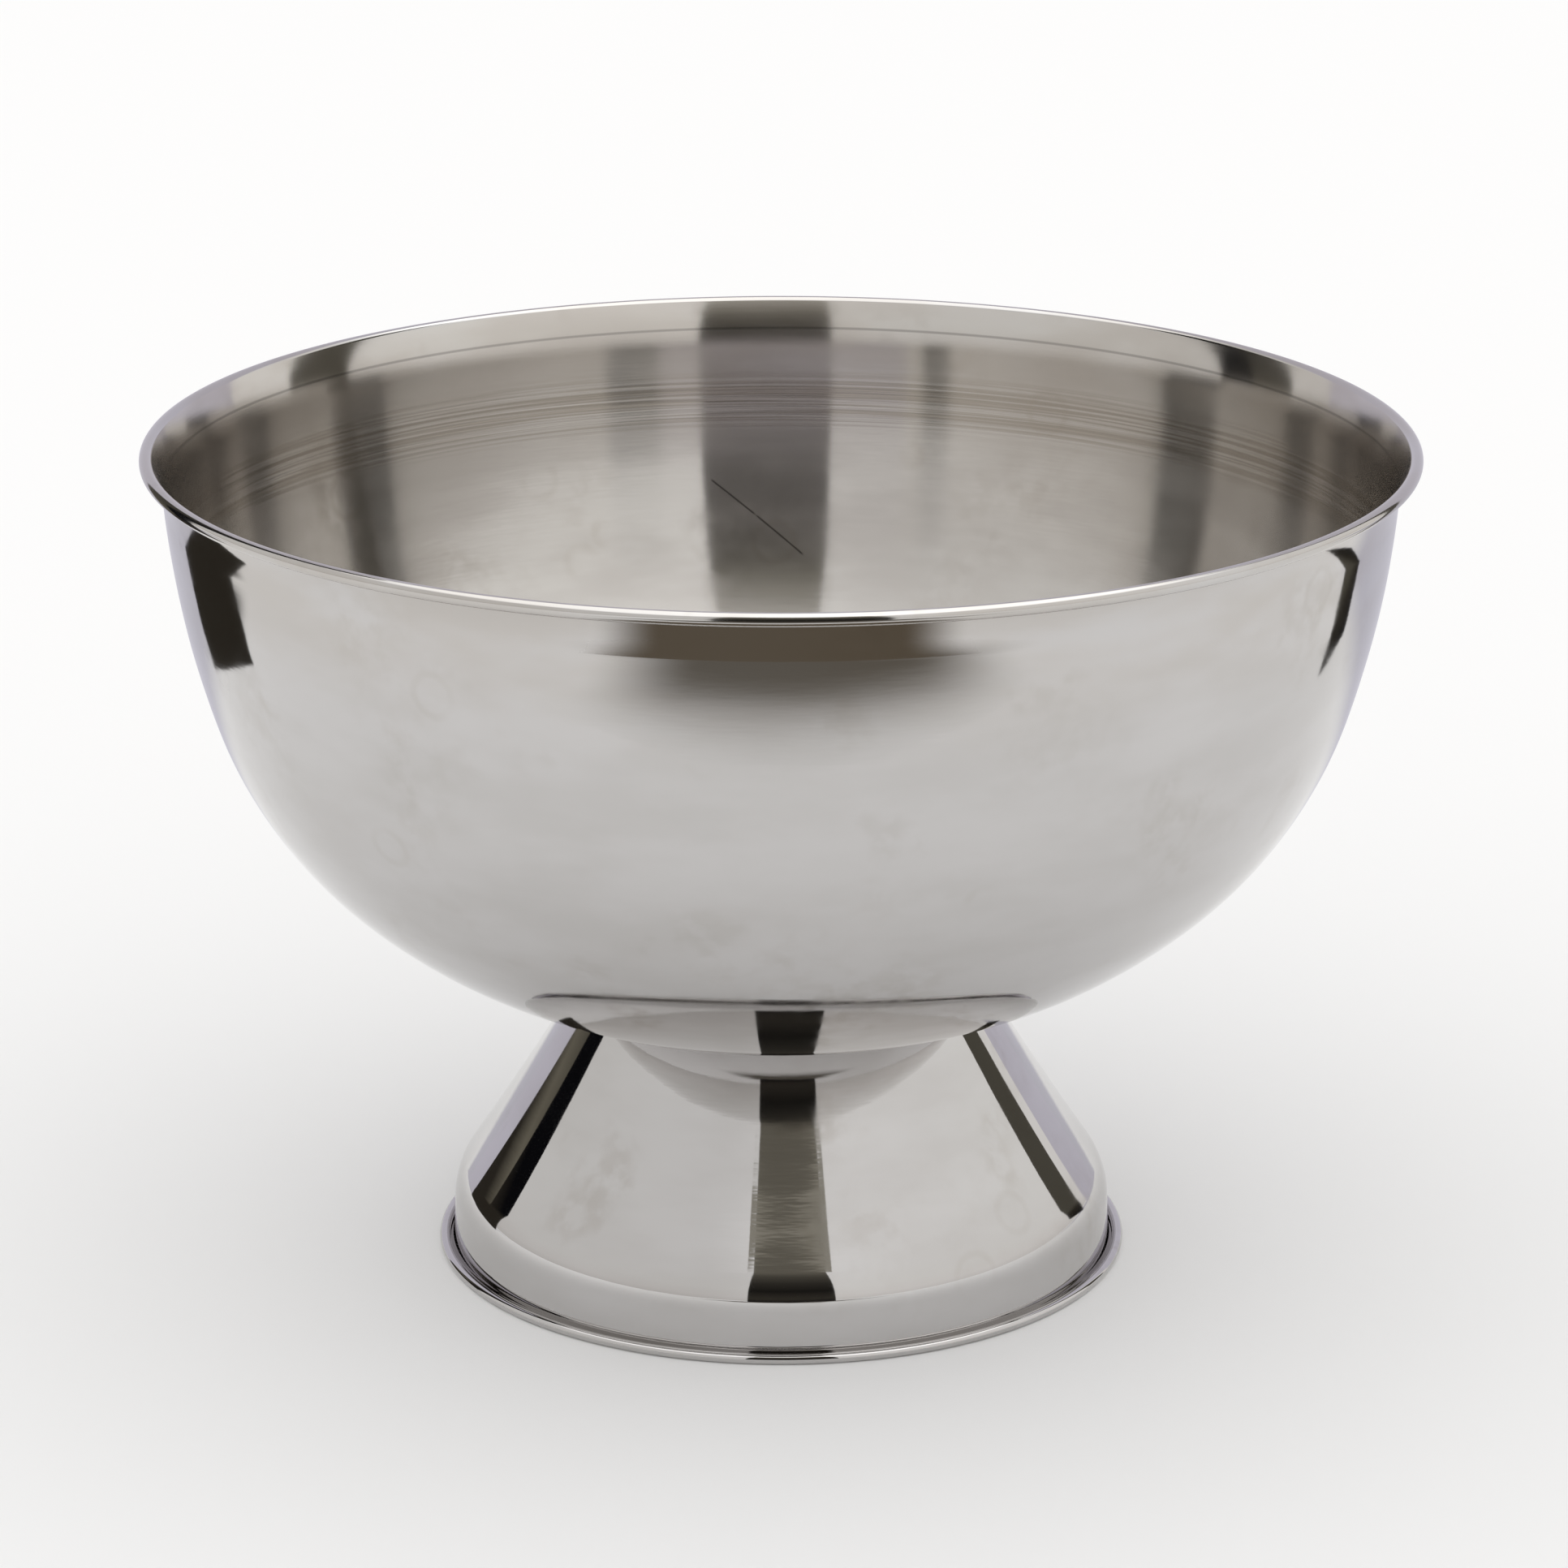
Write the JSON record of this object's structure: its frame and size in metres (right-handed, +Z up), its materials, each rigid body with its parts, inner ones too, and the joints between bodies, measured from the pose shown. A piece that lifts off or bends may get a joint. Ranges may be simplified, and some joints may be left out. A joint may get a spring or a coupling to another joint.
{
  "type": "punch bowl",
  "caption": "Wide round stainless steel serving bowl with a rolled rim, standing on a flared conical foot with a rolled base.",
  "frame": {"origin": "centre of the ring that the foot stands on, at table height", "axes": "+Z up along the bowl's axis of revolution; the bowl is round, so X and Y are any two square directions across it"},
  "size_m": [0.36, 0.36, 0.24],
  "materials": {
    "bowl_steel": "bright polish outside and on the rolled rim, satin with brushing round the bowl inside",
    "foot_steel": "bright polish outside, dull as spun underneath",
    "weld_steel": "dull fused steel"
  },
  "bodies": {
    "root": {"bowl": "bowl_steel", "foot": "foot_steel", "spot_welds": "weld_steel"}
  },
  "joints": []
}
